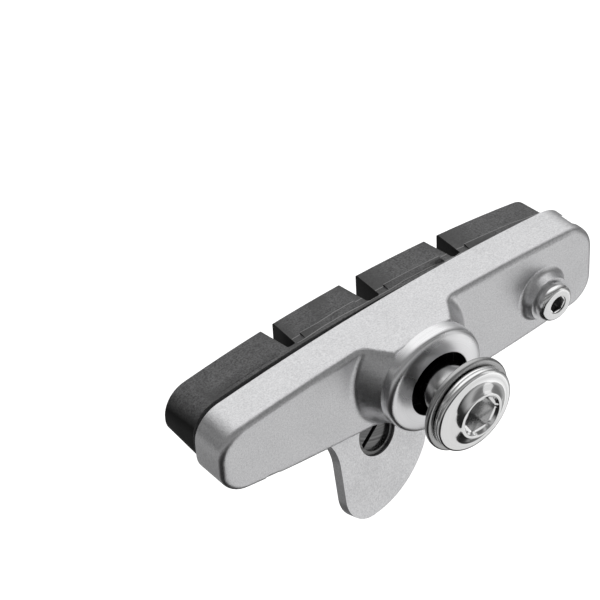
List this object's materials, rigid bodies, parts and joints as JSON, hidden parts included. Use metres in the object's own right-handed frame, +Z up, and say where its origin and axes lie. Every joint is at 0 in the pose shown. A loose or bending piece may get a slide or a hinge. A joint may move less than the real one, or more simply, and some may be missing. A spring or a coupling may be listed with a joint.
{
  "type": "bicycle rim brake pad",
  "caption": "Rim brake shoe: slotted rubber pad in a cast tray with a wheel guide fin, a seat ring and a socket bolt with washers for the brake arm.",
  "frame": {"origin": "on the fixing bolt's axis, in the plane of the seat ring's outer front rim, where the brake arm bears", "axes": "+X along the shoe to the open end of the tray, +Y along the bolt to the brake face, +Z up as mounted"},
  "size_m": [0.0564, 0.0239, 0.0264],
  "materials": {
    "cast_aluminium": "satin",
    "pad_rubber": "matte",
    "screw_steel": "polished",
    "dark_steel": "satin",
    "bolt_steel": "polished",
    "washer_steel": "satin"
  },
  "bodies": {
    "root": {"shoe_holder": "cast_aluminium", "brake_pad": "pad_rubber", "pad_fixing_screw": "screw_steel", "stop_screw": "dark_steel", "seat_ring": "cast_aluminium", "fixing_bolt": "bolt_steel", "flat_washer": "washer_steel", "domed_washer": "bolt_steel"}
  },
  "joints": []
}
